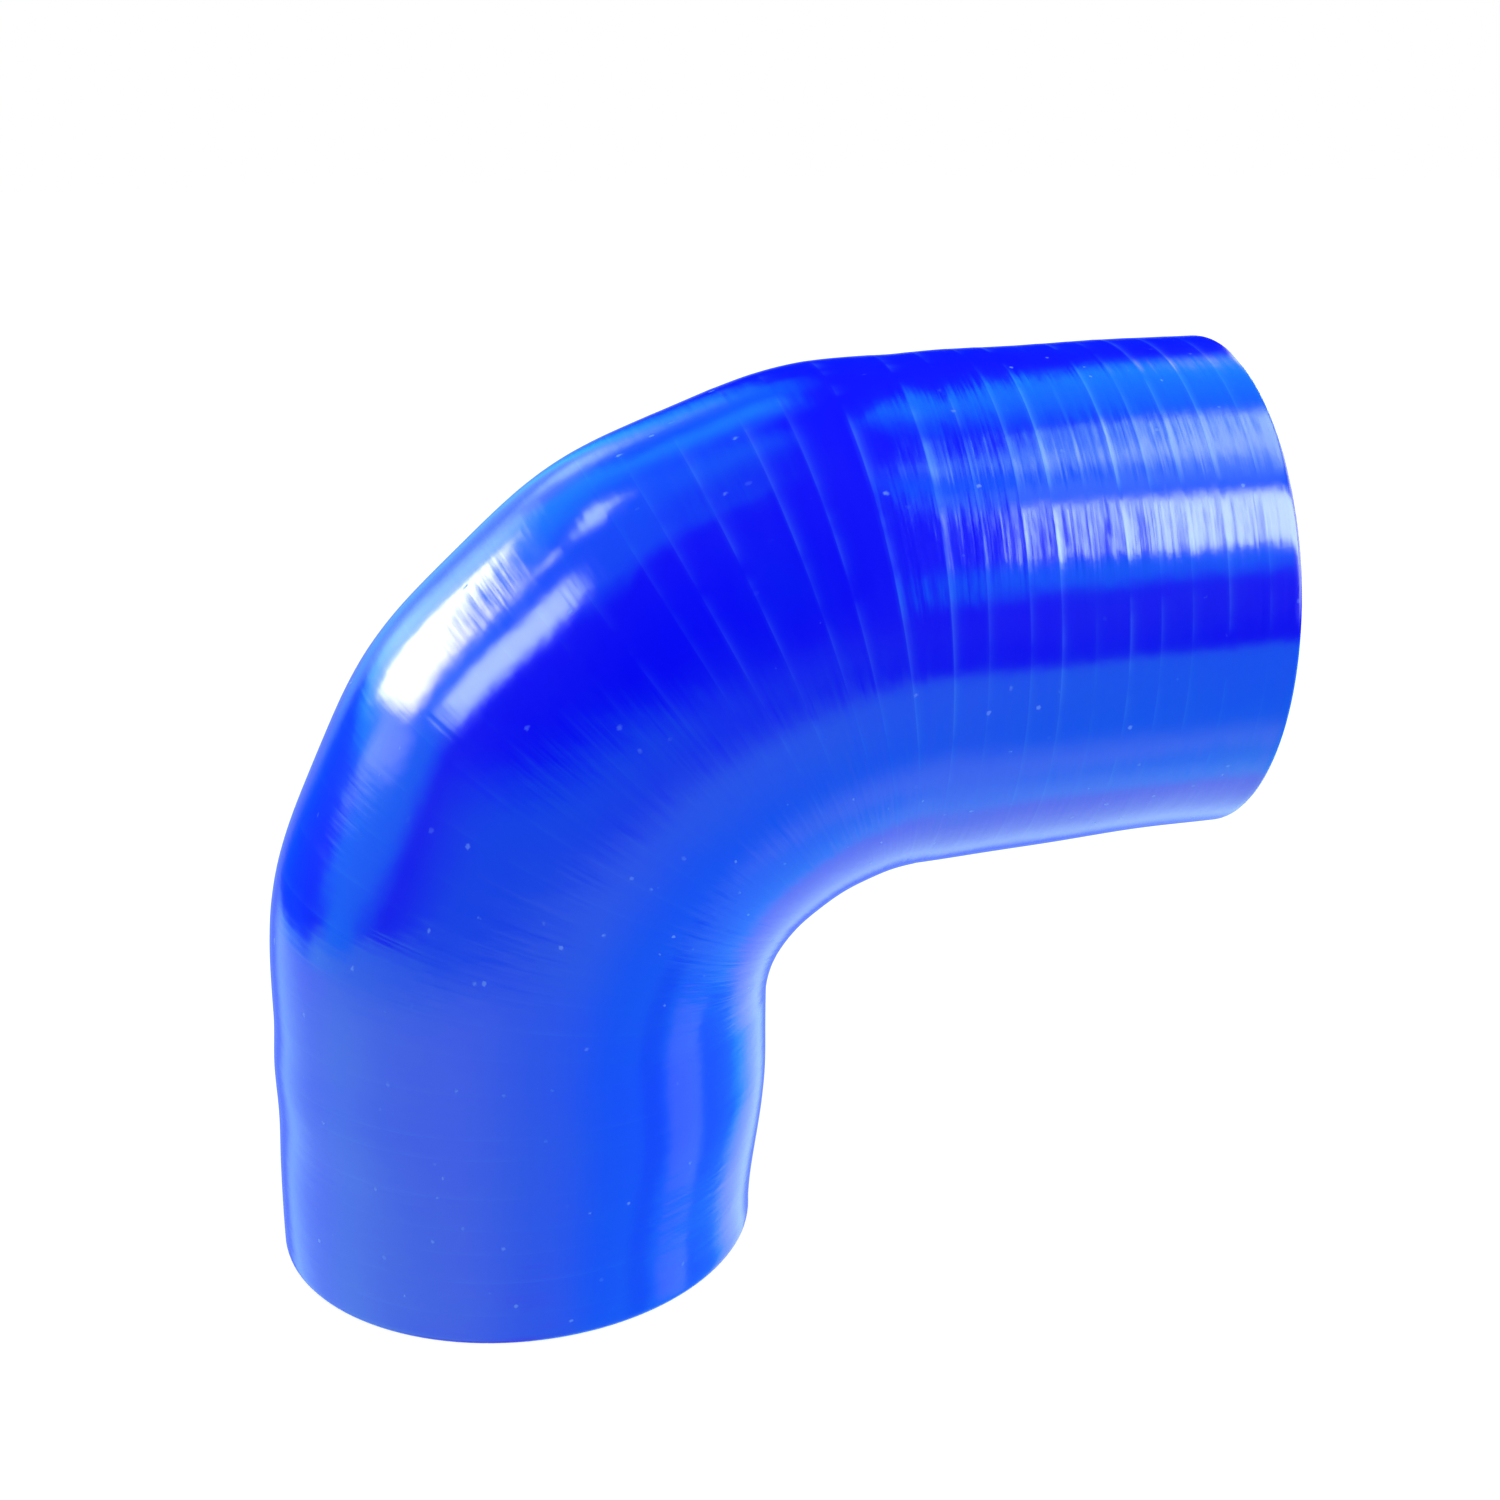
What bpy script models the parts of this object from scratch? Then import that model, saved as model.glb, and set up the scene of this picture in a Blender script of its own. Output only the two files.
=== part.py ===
"""Silicone elbow hose: a 90 degree hand-laid elbow for a 63 mm pipe, as used on coolant and intake lines.

Metres, +Z up. The hose stands on its lower cut end and its outlet leg points along +X. The origin is on the
floor, under the middle of the hose's bounding box.

The real hose is one moulded piece: plies of coated cloth are laid over a bent mandrel, bound with tape,
cured together and trimmed square at both ends. So it is one solid, a bent tube in which every section is a
circle. The mandrel's path gives a section its place, and the hand-laid form shifts its centre and changes
its radius by a millimetre or two.
"""

import math

import bmesh
import bpy
from mathutils import Matrix

NAME = "elbow_hose"

# Mandrel and wall. Stations are distances along the middle of the bore, from the lower cut.
BORE = 0.063
WALL = 0.005
LOWER_LEG = 0.0375  # straight run between the lower cut and the bend
OUTLET_LEG = 0.0465  # straight run between the bend and the outlet cut
BEND_RADIUS = 0.0565  # to the middle of the bore
BEND_ANGLE = math.radians(90.0)
RIM_ROUNDING = 0.0006  # on the four edges of the two cut ends

# Lower end: the last stretch is drawn in, and leans to the outside of the bend.
FOOT_DRAW = 0.0010  # less radius
FOOT_SHIFT = 0.0019
FOOT_REACH = 0.0275

# Outlet end: the last stretch is drawn in.
OUTLET_DRAW = 0.0006
OUTLET_REACH = 0.050

# Belly: the plies gather towards the inside in the second half of the bend.
BELLY_TURN = math.radians(67.0)  # how far round the bend its fullest section is
BELLY_GROWTH = 0.0004  # more radius
BELLY_SHIFT = 0.0025
BELLY_REACH = 0.075

# Flats: the binding tape runs straight between soft corners on the outside of the bend.
FLAT_TURN = math.radians(23.0)  # from one corner to the next
FIRST_CORNER = math.radians(-11.0)
CORNER_HEIGHT = 0.0007  # of a corner over the middle of a flat
FLATS_RUN_OUT = math.radians(25.0)  # the corners die away this far past the bend

# Fineness of the mesh
SIDES = 48
LEG_STEP = 0.006
TURN_STEP = math.radians(3.75)
RIM_SEGMENTS = 2

# Blue silicone rubber with a cured gloss
COLOUR = (0.006, 0.075, 0.90, 1.0)
ROUGHNESS = 0.22
METALLIC = 0.0

BEND_LENGTH = BEND_RADIUS * BEND_ANGLE
LENGTH = LOWER_LEG + BEND_LENGTH + OUTLET_LEG


def clear_scene():
    for obj in list(bpy.data.objects):
        bpy.data.objects.remove(obj, do_unlink=True)


def even_steps(start, end, step):
    """Evenly spaced stations after start, up to end, no further apart than step."""
    count = max(1, math.ceil(round((end - start) / step, 6)))
    return [start + (end - start) * i / count for i in range(1, count + 1)]


def stations():
    """Stations of the sections, which come at the ends of the legs and evenly between them."""
    bend_end = LOWER_LEG + BEND_LENGTH
    return [
        0.0,
        *even_steps(0.0, LOWER_LEG, LEG_STEP),
        *even_steps(LOWER_LEG, bend_end, BEND_RADIUS * TURN_STEP),
        *even_steps(bend_end, LENGTH, LEG_STEP),
    ]


def path_frame(station):
    """The section plane at a station: X towards the inside of the bend, Y across it, Z along the path.

    The path goes straight up from the floor, round an arc in the XZ plane, and straight on.
    """
    turn = min(max((station - LOWER_LEG) / BEND_RADIUS, 0.0), BEND_ANGLE)
    up = min(station, LOWER_LEG)
    onward = max(station - LOWER_LEG - BEND_LENGTH, 0.0)
    x = BEND_RADIUS * (1.0 - math.cos(turn)) + onward * math.sin(turn)
    z = up + BEND_RADIUS * math.sin(turn) + onward * math.cos(turn)
    return Matrix.Translation((x, 0.0, z)) @ Matrix.Rotation(turn, 4, "Y")


def fade(distance, reach):
    """1 at no distance, down half a cosine wave to 0 at reach and beyond."""
    return 0.5 + 0.5 * math.cos(math.pi * min(abs(distance) / reach, 1.0))


def hand_laid_form(station):
    """How much a section's radius grows, and how far its centre shifts towards the inside of the bend."""
    foot = fade(station, FOOT_REACH)
    outlet = fade(LENGTH - station, OUTLET_REACH)
    belly = fade(station - LOWER_LEG - BEND_RADIUS * BELLY_TURN, BELLY_REACH)
    turn = (station - LOWER_LEG) / BEND_RADIUS
    past_bend = max(-turn, turn - BEND_ANGLE, 0.0)
    corner = math.cos(2.0 * math.pi * (turn - FIRST_CORNER) / FLAT_TURN)
    # A corner lifts the outside alone: half of it is growth and half is shift.
    lift = 0.25 * CORNER_HEIGHT * corner * fade(past_bend, FLATS_RUN_OUT)
    growth = BELLY_GROWTH * belly - FOOT_DRAW * foot - OUTLET_DRAW * outlet + lift
    shift = BELLY_SHIFT * belly - FOOT_SHIFT * foot - lift
    return growth, shift


def add_circle(bm, station, base_radius):
    """Adds one section's circle and returns its points in order."""
    growth, shift = hand_laid_form(station)
    made = bmesh.ops.create_circle(
        bm,
        cap_ends=False,
        segments=SIDES,
        radius=base_radius + growth,
        matrix=path_frame(station) @ Matrix.Translation((shift, 0.0, 0.0)),
    )
    return made["verts"]


def join_circles(bm, circle, following):
    """Joins two circles' like points with a band of four-sided faces."""
    for i in range(SIDES):
        after = (i + 1) % SIDES
        bm.faces.new((circle[i], circle[after], following[after], following[i]))


def build_mesh():
    """Circles along the outside and back through the bore, each joined to the next and the last to the first.

    The bands between the two walls are the flat rings of the cut ends.
    """
    bm = bmesh.new()
    outside = [add_circle(bm, station, BORE / 2.0 + WALL) for station in stations()]
    inside = [add_circle(bm, station, BORE / 2.0) for station in stations()]
    circles = outside + inside[::-1]
    for circle, following in zip(circles, circles[1:] + circles[:1]):
        join_circles(bm, circle, following)
    bmesh.ops.recalc_face_normals(bm, faces=bm.faces)
    mesh = bpy.data.meshes.new(NAME)
    bm.to_mesh(mesh)
    bm.free()
    return mesh


def silicone():
    material = bpy.data.materials.new("blue_silicone")
    material.use_nodes = True
    shader = material.node_tree.nodes["Principled BSDF"]
    shader.inputs["Base Color"].default_value = COLOUR
    shader.inputs["Roughness"].default_value = ROUGHNESS
    shader.inputs["Metallic"].default_value = METALLIC
    material.diffuse_color = COLOUR
    return material


def round_rims(hose):
    """Rounds the sharp edges, which are only those of the cut ends."""
    bevel = hose.modifiers.new("rim rounding", "BEVEL")
    bevel.width = RIM_ROUNDING
    bevel.segments = RIM_SEGMENTS
    bevel.limit_method = "ANGLE"
    bevel.angle_limit = math.radians(60.0)


def stand_over_origin(hose):
    """Puts the middle of the hose's bounding box over the origin."""
    across = [vert.co.x for vert in hose.data.vertices]
    hose.location.x = -(min(across) + max(across)) / 2.0


def main():
    clear_scene()
    collection = bpy.data.collections.new("silicone_elbow_hose")
    bpy.context.scene.collection.children.link(collection)
    mesh = build_mesh()
    mesh.materials.append(silicone())
    mesh.shade_smooth()
    mesh.set_sharp_from_angle(angle=math.radians(40.0))
    hose = bpy.data.objects.new(NAME, mesh)
    collection.objects.link(hose)
    round_rims(hose)
    stand_over_origin(hose)


main()
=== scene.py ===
"""Silicone elbow hose, dressed for its picture.

Metres, +Z up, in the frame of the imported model: the hose stands on its lower cut end and its outlet leg
points along +X. The one piece built here is the hose itself, with the marks that its binding tape left. It
stands for the plain CAD solid of the same form. A floor, a soft white studio and the camera complete the
scene.
"""

import math
from typing import NamedTuple

import bpy
import numpy as np
from bpy.props import FloatProperty, FloatVectorProperty, PointerProperty
from mathutils import Matrix, Vector


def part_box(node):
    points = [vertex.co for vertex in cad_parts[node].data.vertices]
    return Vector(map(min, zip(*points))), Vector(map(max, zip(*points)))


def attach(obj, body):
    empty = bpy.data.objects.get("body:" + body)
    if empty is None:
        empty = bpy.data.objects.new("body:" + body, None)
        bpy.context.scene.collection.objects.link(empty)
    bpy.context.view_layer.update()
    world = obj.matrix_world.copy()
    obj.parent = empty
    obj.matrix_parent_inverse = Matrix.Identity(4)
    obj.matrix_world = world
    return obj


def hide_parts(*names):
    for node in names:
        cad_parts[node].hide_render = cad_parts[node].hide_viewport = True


bl_info = {
    "name": "Silicone elbow hose",
    "version": (1, 0, 0),
    "blender": (4, 5, 0),
    "location": "3D View > Sidebar > Elbow Hose",
    "description": "Lays a hand-wrapped silicone elbow hose and sets its studio",
    "category": "Add Mesh",
}

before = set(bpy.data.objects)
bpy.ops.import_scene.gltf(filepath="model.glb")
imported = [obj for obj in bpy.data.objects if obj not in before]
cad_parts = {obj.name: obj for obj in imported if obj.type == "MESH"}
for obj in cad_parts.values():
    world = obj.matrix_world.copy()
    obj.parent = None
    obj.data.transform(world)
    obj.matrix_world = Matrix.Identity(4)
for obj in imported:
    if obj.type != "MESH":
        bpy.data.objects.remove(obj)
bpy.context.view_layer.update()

NODE = "elbow_hose"

# Hand-laid form, as in the CAD solid but for how the soft corners fade along the hose and round a section.
# Stations are distances along the middle of the bore from the lower cut.
FOOT_DRAW = 0.0010  # less radius at the lower end
FOOT_SHIFT = 0.0019  # towards the outside of the bend
FOOT_REACH = 0.0275
OUTLET_DRAW = 0.0006  # less radius at the outlet
OUTLET_REACH = 0.050
BELLY_TURN = math.radians(67.0)  # how far round the bend the plies gather most
BELLY_GROWTH = 0.0004  # more radius there
BELLY_SHIFT = 0.0025  # towards the inside of the bend
BELLY_REACH = 0.075
FLAT_TURN = math.radians(23.0)  # from one soft corner to the next
FIRST_CORNER = math.radians(-11.0)
CORNER_HEIGHT = 0.0007  # of a corner over the middle of a flat
CORNER_POWER = 4  # how sharply a corner falls off round the section
FLATS_START = math.radians(0.0)  # the corners are full from here to FLATS_END
FLATS_END = math.radians(82.0)
FLATS_FADE_IN = math.radians(25.0)
FLATS_FADE_OUT = math.radians(17.0)

# Fineness of the mesh
SIDES = 132
OUTER_ROWS = 230
BORE_ROWS = 72
FACE_ROWS = 7
RIM_ROWS = 4
ROW_SPACING = 0.00005  # the least between two rows

# Tape marks and unevenness of the outer wall. The ridge's rows gather where it is steep.
FIRST_TAPE_EDGE = 0.0045
TAPE_PLACE_SEED = 7
TAPE_WANDER = 0.2  # of the pitch, by which an edge may lie off its place
TAPE_STRENGTH_SEED = 5
TAPE_STRENGTHS = (0.45, 1.0)
TAPE_LIGHT_SHARE = 0.15  # of its strength that an edge keeps where the tape was wound lightly
TAPE_SIDE_SHARE = 0.25  # of its strength by which an edge changes round the section
TAPE_RISE = 0.0022
TAPE_FALL = 0.0004
# How sharply the painted highlight along a tape edge rises
TAPE_GLINT_RISE = 0.00006
TAPE_EDGE_ROWS = (-0.0024, -0.0012, -0.0005, -0.0001, 0.0, 0.00015, 0.0004, 0.0008, 0.0013)
TAPE_LIGHT_END = 0.085  # the tape was wound lightly up to here, and tightly from TAPE_TIGHT_START
TAPE_TIGHT_START = 0.118
HAND_SEED = 11
HAND_WAVES = 9
HAND_WAVE_TURNS = 6  # the most that a wave makes round the section
HAND_WAVE_LENGTHS = (0.018, 0.050)
HAND_WAVE_HEIGHT = 0.000015
RIM_REACH = 0.003  # the marks die away this near to a rim

PLIES = 4  # that show in a cut end
DUST_CELLS = 300.0  # a metre, each with room for a speck

# Floor
FLOOR_GAP = 0.00005  # keeps the floor and the lower cut end apart
FLOOR_SIDES = 96
FLOOR_SHADED = 0.22
FLOOR_GLOW = 0.90

# Camera
CAMERA_LENS = 47.8
CAMERA_SENSOR = 36.0
CAMERA_AZIMUTH = -11.08
CAMERA_ELEVATION = 18.89
CAMERA_ROLL = -0.51
CAMERA_DISTANCE = 0.2927
CAMERA_TARGET = (0.0024, 0.0, 0.07217)


class HoseSizes(bpy.types.PropertyGroup):
    bore: FloatProperty(
        name="Bore",
        description="Inside diameter, which is the outside diameter of the pipe it fits",
        default=0.063,
        min=0.02,
        unit="LENGTH",
    )
    wall: FloatProperty(
        name="Wall",
        description="Thickness of the cured plies",
        default=0.005,
        min=0.001,
        unit="LENGTH",
    )
    lower_leg: FloatProperty(
        name="Lower leg",
        description="Straight run between the lower cut and the bend",
        default=0.0375,
        min=0.005,
        unit="LENGTH",
    )
    outlet_leg: FloatProperty(
        name="Outlet leg",
        description="Straight run between the bend and the outlet cut",
        default=0.0465,
        min=0.005,
        unit="LENGTH",
    )
    bend_radius: FloatProperty(
        name="Bend radius",
        description="Radius of the bend, to the middle of the bore",
        default=0.0565,
        min=0.04,
        unit="LENGTH",
    )
    bend_angle: FloatProperty(
        name="Bend angle",
        description="How far the hose turns",
        default=math.radians(90.0),
        subtype="ANGLE",
        unit="ROTATION",
    )
    rim_rounding: FloatProperty(
        name="Rim rounding",
        description="Radius of the four edges of the cut ends",
        default=0.0006,
        min=0.0001,
        unit="LENGTH",
    )
    tape_pitch: FloatProperty(
        name="Tape pitch",
        description="Distance from one edge of the binding tape to the next",
        default=0.0048,
        min=0.001,
        unit="LENGTH",
    )
    tape_height: FloatProperty(
        name="Tape mark height",
        description="Height of the ridge that an edge of the binding tape leaves",
        default=0.00005,
        min=0.0,
        unit="LENGTH",
    )


class HoseFinish(bpy.types.PropertyGroup):
    silicone: FloatVectorProperty(
        name="Silicone",
        description="Colour of the cured blue silicone",
        default=(0.002, 0.003, 0.93),
        subtype="COLOR",
        size=3,
        min=0.0,
        max=1.0,
    )
    thin_silicone: FloatVectorProperty(
        name="Thin silicone",
        description="Colour where the silicone lies thin over its cloth",
        default=(0.002, 0.010, 0.90),
        subtype="COLOR",
        size=3,
        min=0.0,
        max=1.0,
    )
    dust: FloatVectorProperty(
        name="Dust",
        description="Colour of the specks of dust on the gloss",
        default=(0.09, 0.20, 0.93),
        subtype="COLOR",
        size=3,
        min=0.0,
        max=1.0,
    )
    # Painted highlight: this paler colour along the binding tape's edges stands in for the glints that the
    # tape's ridges catch.
    tape_edge_glint: FloatVectorProperty(
        name="Tape edge glint",
        description="Colour of the skin along the edges of the binding tape",
        default=(0.045, 0.16, 0.95),
        subtype="COLOR",
        size=3,
        min=0.0,
        max=1.0,
    )
    cloth: FloatVectorProperty(
        name="Cloth",
        description="Colour of the cut cloth threads at the two ends",
        default=(0.10, 0.20, 0.62),
        subtype="COLOR",
        size=3,
        min=0.0,
        max=1.0,
    )
    gloss_roughness: FloatProperty(
        name="Gloss roughness",
        description="Roughness of the taped outer skin",
        default=0.14,
        subtype="FACTOR",
        min=0.0,
        max=1.0,
    )
    cut_roughness: FloatProperty(
        name="Cut roughness",
        description="Roughness of the trimmed ends",
        default=0.5,
        subtype="FACTOR",
        min=0.0,
        max=1.0,
    )


class StudioLook(bpy.types.PropertyGroup):
    floor_radius: FloatProperty(
        name="Floor radius",
        description="Radius of the round pale floor",
        default=3.0,
        min=0.3,
        unit="LENGTH",
    )
    light_level: FloatProperty(
        name="Light level",
        description="Brightness of the soft light, where 1 shows a colour as it is written",
        default=1.0,
        min=0.0,
    )


class Socket:
    """An output socket of a shader's node tree, on which sums are written as Python expressions."""

    def __init__(self, tree, socket=None):
        self.tree = tree
        self.socket = socket

    def node(self, kind, settings=None, inputs=None, output=0):
        """Adds a node, sets its settings and then its sockets' values or links, and returns one output."""
        made = self.tree.nodes.new(kind)
        for name, value in (settings or {}).items():
            setattr(made, name, value)
        for name, value in (inputs or {}).items():
            if isinstance(value, Socket):
                self.tree.links.new(value.socket, made.inputs[name])
            else:
                made.inputs[name].default_value = value
        return Socket(self.tree, made.outputs[output])

    def math(self, operation, *values):
        return self.node("ShaderNodeMath", {"operation": operation}, dict(enumerate(values)))

    def __add__(self, other):
        return self.math("ADD", self, other)

    def __radd__(self, other):
        return self.math("ADD", other, self)

    def __sub__(self, other):
        return self.math("SUBTRACT", self, other)

    def __rsub__(self, other):
        return self.math("SUBTRACT", other, self)

    def __mul__(self, other):
        return self.math("MULTIPLY", self, other)

    def __rmul__(self, other):
        return self.math("MULTIPLY", other, self)

    def __abs__(self):
        return self.math("ABSOLUTE", self)

    def stretched(self, factors):
        """The vector times a factor for each axis."""
        return self.node("ShaderNodeVectorMath", {"operation": "MULTIPLY"}, {0: self, 1: factors})

    def eased(self, start, end, first=0.0, last=1.0):
        """Goes smoothly from first to last as the value goes from start to end."""
        return self.node(
            "ShaderNodeMapRange",
            {"interpolation_type": "SMOOTHSTEP"},
            {"Value": self, "From Min": start, "From Max": end, "To Min": first, "To Max": last},
        )

    def blended(self, first, second):
        """The first colour where the value is 0 and the second where it is 1."""
        return self.node("ShaderNodeMix", {"data_type": "RGBA"}, {0: self, 6: first, 7: second}, 2)

    def mixed(self, share, first, second):
        """The first shader where the share is 0 and the second where it is 1."""
        return self.node("ShaderNodeMixShader", None, {0: share, 1: first, 2: second})

    def finish(self, kind, shader):
        """Gives the tree its output."""
        self.tree.links.new(shader.socket, self.tree.nodes.new(kind).inputs["Surface"])


def opaque(colour):
    """A colour with full alpha."""
    return (*colour, 1.0)


def fade(distance, reach):
    """1 at no distance, down half a cosine wave to 0 at reach and beyond."""
    return 0.5 + 0.5 * np.cos(np.pi * np.minimum(np.abs(distance) / reach, 1.0))


def hose_length(sizes):
    return sizes.lower_leg + sizes.bend_radius * sizes.bend_angle + sizes.outlet_leg


def path(stations, sizes):
    """Middle of the bore, and the section's X axis, which points towards the inside of the bend.

    The path goes straight up from the floor, round an arc in the XZ plane, and straight on. Its first leg is
    placed so that the outlet's cut end lies in the +X side of the CAD box.
    """
    bend = sizes.bend_radius * sizes.bend_angle
    turn = np.clip((stations - sizes.lower_leg) / sizes.bend_radius, 0.0, sizes.bend_angle)
    onward = np.maximum(stations - sizes.lower_leg - bend, 0.0)
    up = np.minimum(stations, sizes.lower_leg)
    leg_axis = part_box(NODE)[1][0] - sizes.bend_radius - sizes.outlet_leg
    none = np.zeros_like(stations)
    x = leg_axis + sizes.bend_radius * (1.0 - np.cos(turn)) + onward * np.sin(turn)
    z = up + sizes.bend_radius * np.sin(turn) + onward * np.cos(turn)
    middle = np.stack([x, none, z], axis=-1)
    inwards = np.stack([np.cos(turn), none, -np.sin(turn)], axis=-1)
    return middle, inwards


def hand_laid_form(stations, sizes):
    """How much a section's radius grows, how far its centre shifts to the inside of the bend, and its lift.

    The lift is the soft corners of the plies on the outside of the bend. The tape ran straight between them.
    """
    foot = fade(stations, FOOT_REACH)
    outlet = fade(hose_length(sizes) - stations, OUTLET_REACH)
    belly = fade(stations - sizes.lower_leg - sizes.bend_radius * BELLY_TURN, BELLY_REACH)
    turn = (stations - sizes.lower_leg) / sizes.bend_radius
    started = fade(np.maximum(FLATS_START - turn, 0.0), FLATS_FADE_IN)
    lasting = fade(np.maximum(turn - FLATS_END, 0.0), FLATS_FADE_OUT)
    corner = np.cos(2.0 * np.pi * (turn - FIRST_CORNER) / FLAT_TURN)
    lift = 0.5 * CORNER_HEIGHT * corner * started * lasting
    growth = BELLY_GROWTH * belly - FOOT_DRAW * foot - OUTLET_DRAW * outlet
    shift = BELLY_SHIFT * belly - FOOT_SHIFT * foot
    return growth, shift, lift


def tape_edges(sizes):
    """Stations of the tape's edges, which follow each other at the tape's pitch, give or take a little."""
    count = int((hose_length(sizes) - 2.0 * FIRST_TAPE_EDGE) / sizes.tape_pitch) + 1
    chance = np.random.default_rng(TAPE_PLACE_SEED)
    wander = chance.uniform(-TAPE_WANDER, TAPE_WANDER, count)
    return FIRST_TAPE_EDGE + sizes.tape_pitch * (np.arange(count) + wander)


def tape_marks(stations, angles, sizes):
    """Heights of the ridges that the edges of the binding tape leave, and strengths of the lines along them.

    A ridge rises slowly to the tape's edge and falls off steeply past it, both as an exponential. A line is
    where a paler colour is painted along the edge as a highlight, for the glint that the ridge catches; it
    rises sharply and falls off as its ridge does. Each ridge has its own strength, which grows where the tape
    is tight, and is strongest on a side of its own. On the inside of the bend the ridges are pressed flat:
    there the height is less by the factor half of 1 less the cosine.
    """
    edges = tape_edges(sizes)
    past = stations[:, None] - edges
    ridge = np.exp(np.minimum(past, 0.0) / TAPE_RISE - np.maximum(past, 0.0) / TAPE_FALL)
    line = np.exp(np.minimum(past, 0.0) / TAPE_GLINT_RISE - np.maximum(past, 0.0) / TAPE_FALL)
    chance = np.random.default_rng(TAPE_STRENGTH_SEED)
    tight = 1.0 - fade(np.maximum(edges - TAPE_LIGHT_END, 0.0), TAPE_TIGHT_START - TAPE_LIGHT_END)
    wound = TAPE_LIGHT_SHARE + (1.0 - TAPE_LIGHT_SHARE) * tight
    strength = chance.uniform(*TAPE_STRENGTHS, len(edges)) * wound
    side = chance.uniform(0.0, 2.0 * np.pi, len(edges))
    turned = 1.0 - TAPE_SIDE_SHARE + TAPE_SIDE_SHARE * np.cos(angles - side[:, None])
    around = strength[:, None] * turned
    pressed = 0.5 - 0.5 * np.cos(angles)
    return sizes.tape_height * pressed * (ridge @ around), pressed * (line @ around)


def hand_waves(stations, angles):
    """Slight unevenness of the outer wall: a sum of cosine waves that run round and along the hose."""
    chance = np.random.default_rng(HAND_SEED)
    turns = chance.integers(1, HAND_WAVE_TURNS + 1, HAND_WAVES)
    lengths = chance.uniform(*HAND_WAVE_LENGTHS, HAND_WAVES)
    starts = chance.uniform(0.0, 2.0 * np.pi, HAND_WAVES)
    along = 2.0 * np.pi * stations[:, None, None] / lengths
    around = angles[None, :, None] * turns
    return HAND_WAVE_HEIGHT * np.cos(along + around + starts).sum(axis=-1)


def wall_outline(sizes):
    """Stations and depths of the closed line that the wall's cut follows along the hose.

    It runs along the outside from the lower end, over the outlet's rounded rim and cut end, back through
    the bore and over the lower end. Depth is measured from the outer wall inwards. A rounded edge is a
    quarter circle.
    """
    length = hose_length(sizes)
    rounding = sizes.rim_rounding
    quarter = np.linspace(0.0, np.pi / 2.0, RIM_ROWS + 1)[:-1]
    rise = rounding * np.sin(quarter)
    drop = rounding * (1.0 - np.cos(quarter))
    even = np.linspace(rounding, length - rounding, OUTER_ROWS)[:-1]
    gathered = (tape_edges(sizes)[:, None] + TAPE_EDGE_ROWS).ravel()
    outside = np.union1d(even, gathered[(gathered > rounding) & (gathered < length - rounding)])
    outside = outside[np.append(True, np.diff(outside) > ROW_SPACING)]
    across = np.linspace(rounding, sizes.wall - rounding, FACE_ROWS)[:-1]
    back = np.linspace(length - rounding, rounding, BORE_ROWS)[:-1]
    ends = length - rounding
    runs = [
        (outside, 0.0 * outside),
        (ends + rise, drop),
        (length + 0.0 * across, across),
        (length - drop, sizes.wall - rounding + rise),
        (back, sizes.wall + 0.0 * back),
        (rounding - rise, sizes.wall - drop),
        (0.0 * across, sizes.wall - across),
        (drop, rounding - rise),
    ]
    return np.concatenate([run[0] for run in runs]), np.concatenate([run[1] for run in runs])


def hose_mesh(sizes):
    """The hose's skin: the wall's outline, carried round the path's sections.

    A point's radius is the outer radius plus the section's growth, less its depth in the wall. The lift adds
    to it on the outside of the bend, and falls off round the section as a power of half of 1 less the cosine.
    On the outer wall the tape's ridges and the hand's unevenness are added, and both die away at the rims.
    """
    stations, depths = wall_outline(sizes)
    angles = np.linspace(0.0, 2.0 * np.pi, SIDES, endpoint=False)
    growth, shift, lift = hand_laid_form(stations, sizes)
    length = hose_length(sizes)
    from_end = np.minimum(stations, length - stations)
    skin = (1.0 - fade(from_end, RIM_REACH)) * (depths == 0.0)
    # lines: where the painted highlights along the tape's edges lie
    ridges, lines = tape_marks(stations, angles, sizes)
    relief = ridges + hand_waves(stations, angles)
    lifted = lift[:, None] * (0.5 - 0.5 * np.cos(angles)) ** CORNER_POWER
    plain = sizes.bore / 2.0 + sizes.wall + growth - depths
    radius = plain[:, None] + lifted + skin[:, None] * relief
    middle, inwards = path(stations, sizes)
    towards = shift[:, None] + radius * np.cos(angles)
    sideways = radius * np.sin(angles)
    points = middle[:, None, :] + towards[..., None] * inwards[:, None, :]
    points[..., 1] += sideways
    laid = np.stack([np.broadcast_to(stations[:, None], radius.shape), towards, sideways], axis=-1)
    depth = np.broadcast_to(depths[:, None] / sizes.wall, radius.shape)
    return points, laid, depth, skin[:, None] * lines


def closed_grid_faces(rows, columns):
    """Corners of the four-sided faces of a grid that closes on itself both ways, facing outwards."""
    here = np.arange(rows * columns).reshape(rows, columns)
    aside = np.roll(here, -1, axis=1)
    onward = np.roll(here, -1, axis=0)
    across = np.roll(onward, -1, axis=1)
    return np.stack([here, aside, across, onward], axis=-1).reshape(-1, 4)


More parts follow.
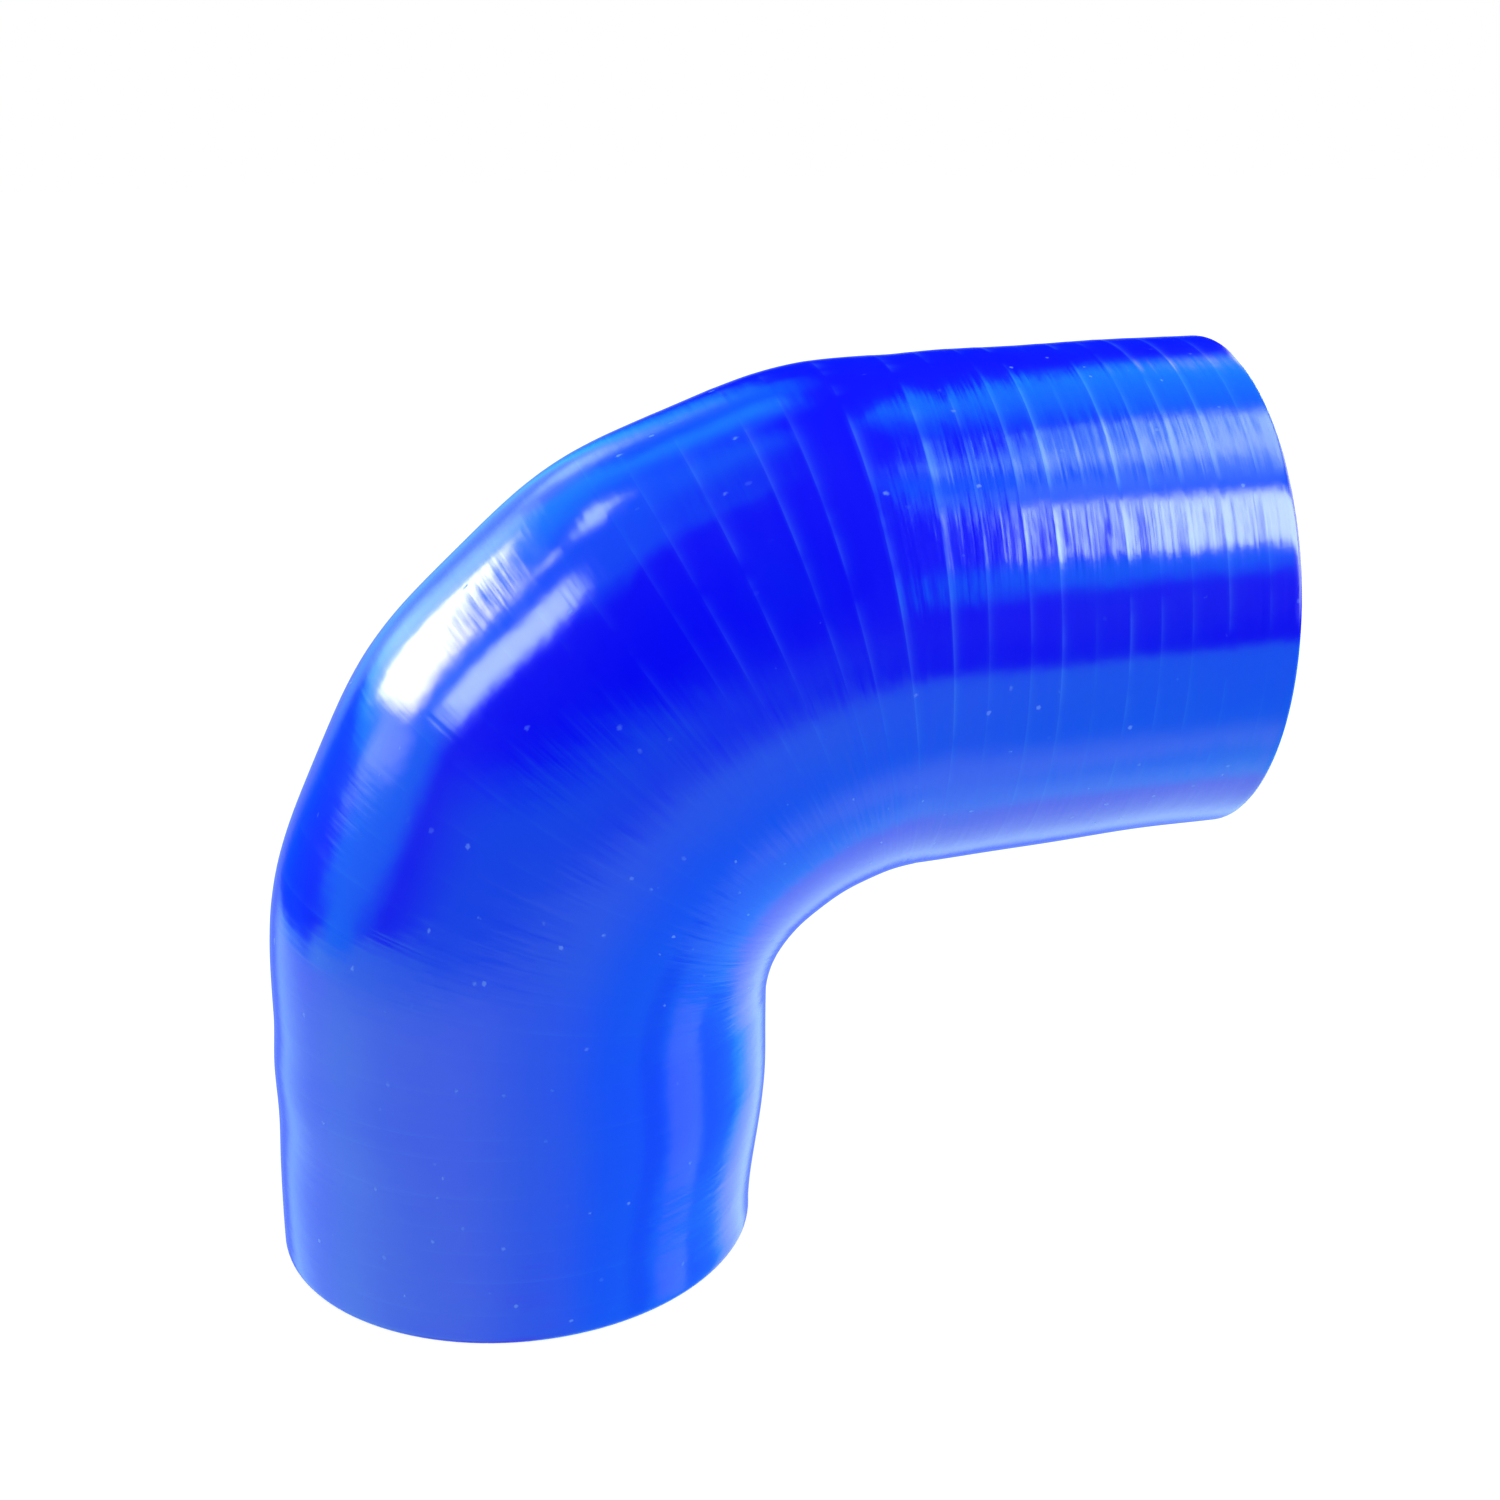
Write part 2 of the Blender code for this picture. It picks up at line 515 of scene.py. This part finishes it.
def silicone_material(finish):
    """Cured blue silicone: a glossy skin with fine marks along the tape, and matt cut ends with cloth.

    The patterns follow the attribute laid, which holds where a point would be if the hose were straight. The
    attribute depth is 0 on the outer skin and 1 in the bore, and the cut ends lie between the two.
    """
    material = bpy.data.materials.new("blue_silicone")
    material.use_nodes = True
    tree = material.node_tree
    shader = tree.nodes["Principled BSDF"]
    start = Socket(tree)
    laid = start.node("ShaderNodeAttribute", {"attribute_name": "laid"}, output="Vector")
    depth = start.node("ShaderNodeAttribute", {"attribute_name": "depth"}, output="Fac")
    tape_edge_glint = start.node("ShaderNodeAttribute", {"attribute_name": "tape_edge_glint"}, output="Fac")

    def cloud(stretch, detail=2.0, roughness=0.5):
        """Noise with so many lumps a metre along the hose, and so many across it both ways."""
        return start.node(
            "ShaderNodeTexNoise",
            None,
            {"Vector": laid.stretched(stretch), "Scale": 1.0, "Detail": detail, "Roughness": roughness},
        )

    cut = depth.eased(0.02, 0.08) * depth.eased(0.98, 0.92)
    bore = depth.eased(0.92, 0.98)
    skin = 1.0 - cut

    # Colour: thin places, painted highlights along the tape's edges, specks of dust, cloth threads in the cut
    # ends
    thin = cloud((60.0, 45.0, 45.0), 3.0).eased(0.42, 0.72)
    cells = {"Vector": laid, "Scale": DUST_CELLS, "Randomness": 1.0}
    specks = start.node("ShaderNodeTexVoronoi", None, cells)
    picked = start.node("ShaderNodeTexVoronoi", None, cells, "Color")
    lucky = start.node("ShaderNodeSeparateColor", None, {"Color": picked}, "Red").eased(0.35, 1.0)
    ragged = cloud((2400.0, 2400.0, 2400.0), 1.0) * 0.12
    dust = (specks + ragged).eased(0.19, 0.10) * lucky * depth.eased(0.02, 0.0)
    plies = depth.math("SINE", depth * (2.0 * math.pi * PLIES)).eased(0.72, 0.98)
    threads = cloud((0.0, 1600.0, 1600.0), 0.0).eased(0.46, 0.60)
    colour = thin.blended(opaque(finish.silicone), opaque(finish.thin_silicone))
    # Painted highlight: a paler line along each tape edge, broken by noise, stands in for the glint its ridge
    # catches
    broken_glint = tape_edge_glint * cloud((60.0, 130.0, 130.0)).eased(0.35, 0.65)
    colour = broken_glint.blended(colour, opaque(finish.tape_edge_glint))
    colour = dust.blended(colour, opaque(finish.dust))
    colour = (cut * plies * threads).blended(colour, opaque(finish.cloth))

    # Roughness: the gloss varies a little, the bore is duller and the cut ends are matt
    grain = cloud((900.0, 60.0, 60.0), 3.0)
    gloss = finish.gloss_roughness + (grain - 0.5) * 0.06 + dust * 0.3 + bore * 0.2
    roughness = skin * gloss + cut * finish.cut_roughness

    # Relief, in metres: fine marks along the tape, lumps of two sizes, and the cut's drag lines
    fine = cloud((1100.0, 35.0, 35.0), 3.0) * 0.00003
    lumps = cloud((230.0, 120.0, 120.0), 2.0) * 0.00008 + cloud((700.0, 450.0, 450.0), 1.0) * 0.00001
    drag = cloud((0.0, 500.0, 500.0), 3.0) * 0.00012
    height = (fine + lumps) * skin + drag * cut
    normal = start.node("ShaderNodeBump", None, {"Strength": 1.0, "Distance": 1.0, "Height": height})

    tree.links.new(colour.socket, shader.inputs["Base Color"])
    tree.links.new(roughness.socket, shader.inputs["Roughness"])
    tree.links.new(normal.socket, shader.inputs["Normal"])
    shader.inputs["IOR"].default_value = 1.5
    material.diffuse_color = opaque(finish.silicone)
    return material


class HOSE_OT_lay_hose(bpy.types.Operator):
    """Lay the silicone elbow hose over its mandrel's path, with its tape marks and cut ends"""

    bl_idname = "elbow_hose.lay_hose"
    bl_label = "Lay the Hose"

    def execute(self, context):
        sizes = context.scene.hose_sizes
        points, laid, depth, lines = hose_mesh(sizes)
        faces = closed_grid_faces(*points.shape[:2])
        mesh = bpy.data.meshes.new("moulded_elbow")
        mesh.from_pydata(points.reshape(-1, 3), [], faces.tolist())
        mesh.attributes.new("laid", "FLOAT_VECTOR", "POINT").data.foreach_set("vector", laid.ravel())
        mesh.attributes.new("depth", "FLOAT", "POINT").data.foreach_set("value", depth.ravel())
        # where the painted highlights along the tape's edges lie
        mesh.attributes.new("tape_edge_glint", "FLOAT", "POINT").data.foreach_set("value", lines.ravel())
        mesh.shade_smooth()
        mesh.materials.append(silicone_material(context.scene.hose_finish))
        if mesh.validate():
            raise RuntimeError("the hose's mesh had faults")
        hose = bpy.data.objects.new("moulded_elbow", mesh)
        context.scene.collection.objects.link(hose)
        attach(hose, "root")
        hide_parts(NODE)
        return {"FINISHED"}


class Panel(NamedTuple):
    """A bright or dark thing in the room as the gloss sees it, all angles in degrees.

    Azimuth 0 is towards the camera's side and 90 along +X. Rise is the slope of the top and bottom edges,
    lean that of the sides, and soft how wide the sides and the top and bottom edges blur.
    """

    azimuth: float
    elevation: float
    width: float
    height: float
    colour: tuple
    rise: float = 0.0
    lean: float = 0.0
    soft: tuple = (4.0, 4.0)


DARK_ROOM = (0.0, 0.02, 2.2)
TABLE = (0.6, 2.5, 1.4)
TABLE_EDGE = -15.0
TABLE_EDGE_RISE = 11.0  # where the table's far edge comes highest
TABLE_EDGE_TOP = -65.0  # azimuth of that place
TABLE_EDGE_FLANK = (85.0, 10.0)  # from it, where the rise begins and where it is full
TABLE_EDGE_CRISP = 0.67  # at the sides
TABLE_EDGE_BLURRED = 0.10  # in front
TABLE_EDGE_FRONT = -18.0  # azimuth of the middle of the blurred part
TABLE_EDGE_FRONT_REACH = (28.0, 52.0)  # from it, where the blur begins to end and where it has ended
# A panel covers those before it.
ROOM_PANELS = {
    "right side of the table": Panel(75.0, -47.0, 78.0, 64.0, (0.1, 2.1, 2.4), soft=(24.0, 3.0)),
    "floor below": Panel(-90.0, -72.0, 62.0, 60.0, (0.9, 1.2, 1.3), soft=(14.0, 10.0)),
    "cloth on the table, left": Panel(-128.0, -42.0, 50.0, 54.0, (0.85, 1.65, 1.75), soft=(24.0, 4.0)),
    "cloth on the table, in front": Panel(-60.0, -34.0, 70.0, 36.0, (1.3, 3.0, 1.6), soft=(36.0, 16.0)),
    "table's near part": Panel(62.0, -68.0, 40.0, 36.0, (0.95, 2.9, 3.0), soft=(14.0, 14.0)),
    "table's far part": Panel(135.0, -48.0, 40.0, 50.0, (1.2, 1.9, 2.0), lean=0.55, soft=(14.0, 12.0)),
    "table under the bend": Panel(75.0, -56.0, 24.0, 14.0, (0.4, 2.5, 2.8), soft=(8.0, 6.0)),
    "gap beside the card": Panel(56.0, -34.0, 10.0, 22.0, (0.06, 1.5, 1.9)),
    "table behind the card": Panel(98.0, -30.0, 22.0, 24.0, (0.12, 1.3, 1.6), soft=(10.0, 10.0)),
    "card on the table": Panel(75.0, -31.0, 17.0, 19.0, (0.8, 2.5, 2.8), lean=-0.2, soft=(2.0, 2.0)),
    "soft wall in front": Panel(-30.0, 0.0, 60.0, 24.0, (0.12, 1.5, 1.0), rise=-0.2, soft=(44.0, 20.0)),
    "backdrop": Panel(180.0, -22.0, 60.0, 44.0, (0.25, 0.45, 1.5), soft=(14.0, 14.0)),
    "left wall": Panel(-128.0, 27.0, 88.0, 56.0, (0.08, 2.3, 2.7), soft=(12.0, 18.0)),
    "left wall's lower stripe": Panel(-95.0, -1.0, 16.0, 16.0, (0.08, 2.1, 2.5), soft=(8.0, 6.0)),
    "dark corner": Panel(-133.0, -4.0, 42.0, 19.0, (0.0, 0.3, 2.2), soft=(9.0, 8.0)),
    "upper left wall": Panel(-108.0, 60.0, 46.0, 28.0, (0.05, 1.5, 2.0), soft=(10.0, 14.0)),
    "dark place over the curtain": Panel(-172.0, 37.0, 18.0, 14.0, (0.0, 0.8, 2.2), soft=(8.0, 8.0)),
    "far left wall": Panel(-163.0, 14.0, 24.0, 36.0, (0.36, 0.9, 2.0), soft=(8.0, 16.0)),
    "curtain": Panel(-166.0, 23.0, 11.0, 11.0, (1.5, 2.7, 3.1), soft=(8.0, 8.0)),
    "glow round the window": Panel(-129.0, 24.0, 46.0, 19.0, (2.4, 4.6, 5.0), rise=0.35, soft=(16.0, 12.0)),
    "glow under the window": Panel(-106.5, 13.5, 23.0, 10.5, (2.5, 4.6, 5.2), rise=0.3, soft=(10.0, 6.0)),
    "ceiling on the right": Panel(90.0, 55.0, 73.0, 32.0, (0.06, 2.2, 3.0), soft=(4.0, 16.0)),
    "right wall": Panel(92.0, 18.0, 104.0, 44.0, (5.5, 6.5, 6.8), soft=(10.0, 12.0)),
    "light above the window": Panel(-126.5, 53.5, 11.0, 8.5, (7.0, 10.5, 11.0), rise=-0.2, soft=(5.0, 4.0)),
    "big window": Panel(-121.5, 26.0, 34.0, 17.0, (22.0, 23.0, 23.0), rise=0.36, lean=-0.5, soft=(7.0, 7.0)),
    "frame of the window": Panel(-112.0, 45.0, 26.0, 7.0, (0.05, 1.6, 2.4), rise=-0.15, soft=(5.0, 3.0)),
    "spot beside the window": Panel(-112.7, 43.9, 3.6, 2.6, (10.0, 13.5, 14.0), soft=(2.0, 2.0)),
    "slat beside the window": Panel(-83.5, 38.5, 13.5, 18.0, (10.5, 14.3, 15.0), soft=(6.0, 8.0)),
    "glow under the lamp": Panel(25.0, 23.0, 16.0, 12.0, (0.02, 2.4, 3.0), soft=(8.0, 9.0)),
    "lower lamp": Panel(43.5, 32.2, 34.0, 27.5, (4.6, 7.2, 7.9), rise=-0.72, lean=0.18, soft=(6.0, 3.5)),
    "lower lamp's bright part": Panel(
        45.0, 30.0, 33.0, 25.5, (15.2, 20.3, 20.3), rise=-0.72, lean=0.32, soft=(7.0, 3.5)
    ),
    "between the lamps": Panel(37.0, 56.5, 12.0, 7.0, (0.9, 3.6, 4.2), soft=(6.0, 5.0)),
    "upper lamp": Panel(73.0, 62.0, 25.5, 22.0, (1.5, 4.8, 5.8), soft=(5.0, 8.0)),
    "upper lamp's bright part": Panel(80.0, 59.0, 24.0, 16.0, (6.5, 10.5, 11.0), soft=(10.0, 5.0)),
}

# Soft light on the object, as a sum over the parts of its direction
SOFT_LIGHT = 2.86
SOFT_LIGHT_FROM_ABOVE = -1.83
SOFT_LIGHT_FROM_RIGHT = -0.19
SOFT_LIGHT_FROM_FRONT = 0.81
CAMERA_SHADE = 3.25
CAMERA_SHADE_FROM = (-0.373, -0.924, 0.087)
LIGHT_FROM_FLOOR = 0.68
HORIZON_BLUR = 0.02


def studio_world(look):
    """White to the camera, plain soft light on the object, and a room with lamps in the gloss.

    The soft light is strongest at the height of the horizon and from the front's sides. The camera's side is
    in shade, by the square of the cosine of the angle to it. From below comes what the floor gives back.
    """
    world = bpy.data.worlds.new("soft_studio")
    world.use_nodes = True
    world.cycles.sampling_method = "NONE"
    tree = world.node_tree
    tree.nodes.clear()
    start = Socket(tree)
    direction = start.node("ShaderNodeTexCoord", output="Generated")

    def part(axis):
        return start.node("ShaderNodeSeparateXYZ", None, {0: direction}, axis)

    azimuth = start.math("ARCTAN2", part("X"), part("Y") * -1.0) * math.degrees(1.0)
    elevation = start.math("ARCSINE", part("Z")) * math.degrees(1.0)

    def away(centre):
        return start.math("WRAP", azimuth - centre, 180.0, -180.0)

    edge = TABLE_EDGE + TABLE_EDGE_RISE * abs(away(TABLE_EDGE_TOP)).eased(*TABLE_EDGE_FLANK)
    from_front = abs(away(TABLE_EDGE_FRONT))
    crispness = from_front.eased(*TABLE_EDGE_FRONT_REACH, TABLE_EDGE_BLURRED, TABLE_EDGE_CRISP)
    room = ((elevation - edge) * crispness).eased(-1.0, 1.0).blended(opaque(TABLE), opaque(DARK_ROOM))
    for panel in ROOM_PANELS.values():
        aside = away(panel.azimuth) * math.cos(math.radians(panel.elevation))
        above = elevation - panel.elevation
        across = abs(aside - above * panel.lean) - panel.width / 2.0
        upright = abs(above - aside * panel.rise) - panel.height / 2.0
        inside = across.eased(panel.soft[0] / 2.0, -panel.soft[0] / 2.0)
        inside = inside * upright.eased(panel.soft[1] / 2.0, -panel.soft[1] / 2.0)
        room = inside.blended(room, opaque(panel.colour))

    facing = start.node(
        "ShaderNodeVectorMath", {"operation": "DOT_PRODUCT"}, {0: direction, 1: CAMERA_SHADE_FROM}, "Value"
    )
    shade = start.math("MAXIMUM", facing, 0.0)
    soft_light = SOFT_LIGHT + SOFT_LIGHT_FROM_ABOVE * part("Z") + SOFT_LIGHT_FROM_RIGHT * part("X")
    soft_light = soft_light - SOFT_LIGHT_FROM_FRONT * part("Y") - CAMERA_SHADE * shade * shade
    over_horizon = part("Z").eased(-HORIZON_BLUR, HORIZON_BLUR)
    soft_light = LIGHT_FROM_FLOOR + (soft_light - LIGHT_FROM_FLOOR) * over_horizon
    soft_light = look.light_level * soft_light

    def background(colour, strength):
        return start.node("ShaderNodeBackground", None, {"Color": colour, "Strength": strength})

    def ray_is(kind):
        return start.node("ShaderNodeLightPath", output=f"Is {kind} Ray")

    white = (1.0, 1.0, 1.0, 1.0)
    gloss = start.math("MAXIMUM", ray_is("Glossy"), ray_is("Transmission"))
    lit = start.mixed(gloss, background(white, soft_light), background(room, 1.0))
    start.finish("ShaderNodeOutputWorld", start.mixed(ray_is("Camera"), lit, background(white, 1.0)))
    return world


def floor_material():
    """Pale matt floor, which a little light of its own keeps white to the camera round the object's shadow.

    It can't be seen from below, so that the hose can.
    """
    material = bpy.data.materials.new("pale_floor")
    material.use_nodes = True
    tree = material.node_tree
    tree.nodes.clear()
    start = Socket(tree)
    below = start.node("ShaderNodeNewGeometry", output="Backfacing")
    clear = start.node("ShaderNodeBsdfTransparent")
    shaded = start.node("ShaderNodeBsdfDiffuse", None, {"Color": opaque((FLOOR_SHADED,) * 3)})
    own = start.node("ShaderNodeEmission", None, {"Color": (1.0, 1.0, 1.0, 1.0), "Strength": FLOOR_GLOW})
    white = start.node("ShaderNodeAddShader", None, {0: shaded, 1: own})
    start.finish("ShaderNodeOutputMaterial", start.mixed(below, white, clear))
    return material


class HOSE_OT_set_studio(bpy.types.Operator):
    """Set the pale floor, the soft studio light and the camera"""

    bl_idname = "elbow_hose.set_studio"
    bl_label = "Set the Studio"

    def execute(self, context):
        scene = context.scene
        look = scene.studio_look
        angles = np.linspace(0.0, 2.0 * np.pi, FLOOR_SIDES, endpoint=False)
        rim = look.floor_radius * np.stack([np.cos(angles), np.sin(angles), 0.0 * angles], axis=-1)
        mesh = bpy.data.meshes.new("floor")
        mesh.from_pydata(rim, [], [list(range(len(rim)))])
        mesh.materials.append(floor_material())
        floor = bpy.data.objects.new("floor", mesh)
        floor.location.z = -FLOOR_GAP
        floor.visible_glossy = False
        floor.visible_diffuse = False
        scene.collection.objects.link(floor)
        scene.world = studio_world(look)
        camera = bpy.data.objects.new("camera", bpy.data.cameras.new("camera"))
        camera.data.lens = CAMERA_LENS
        camera.data.sensor_width = CAMERA_SENSOR
        camera.data.clip_start = 0.01
        azimuth = math.radians(CAMERA_AZIMUTH)
        elevation = math.radians(CAMERA_ELEVATION)
        back = Vector(
            (
                math.sin(azimuth) * math.cos(elevation),
                -math.cos(azimuth) * math.cos(elevation),
                math.sin(elevation),
            )
        )
        right = (-back).cross(Vector((0.0, 0.0, 1.0))).normalized()
        up = right.cross(-back)
        roll = math.radians(CAMERA_ROLL)
        turned_right = right * math.cos(roll) + up * math.sin(roll)
        turned_up = up * math.cos(roll) - right * math.sin(roll)
        axes = Matrix((turned_right, turned_up, back)).transposed().to_4x4()
        place = Vector(CAMERA_TARGET) + back * CAMERA_DISTANCE
        camera.matrix_world = Matrix.Translation(place) @ axes
        scene.collection.objects.link(camera)
        scene.camera = camera
        scene.view_settings.view_transform = "Standard"
        return {"FINISHED"}


class HOSE_PT_panel(bpy.types.Panel):
    """Sizes, finish and steps of the elbow hose"""

    bl_label = "Elbow Hose"
    bl_idname = "HOSE_PT_panel"
    bl_space_type = "VIEW_3D"
    bl_region_type = "UI"
    bl_category = "Elbow Hose"

    def draw(self, context):
        for group in (context.scene.hose_sizes, context.scene.hose_finish, context.scene.studio_look):
            for name in type(group).__annotations__:
                self.layout.prop(group, name)
        self.layout.operator("elbow_hose.lay_hose")
        self.layout.operator("elbow_hose.set_studio")


CLASSES = (HoseSizes, HoseFinish, StudioLook, HOSE_OT_lay_hose, HOSE_OT_set_studio, HOSE_PT_panel)


def register():
    for made in CLASSES:
        bpy.utils.register_class(made)
    bpy.types.Scene.hose_sizes = PointerProperty(type=HoseSizes)
    bpy.types.Scene.hose_finish = PointerProperty(type=HoseFinish)
    bpy.types.Scene.studio_look = PointerProperty(type=StudioLook)


def unregister():
    del bpy.types.Scene.studio_look
    del bpy.types.Scene.hose_finish
    del bpy.types.Scene.hose_sizes
    for made in reversed(CLASSES):
        bpy.utils.unregister_class(made)


def main():
    register()
    bpy.ops.elbow_hose.lay_hose()
    bpy.ops.elbow_hose.set_studio()


if __name__ == "__main__":
    main()
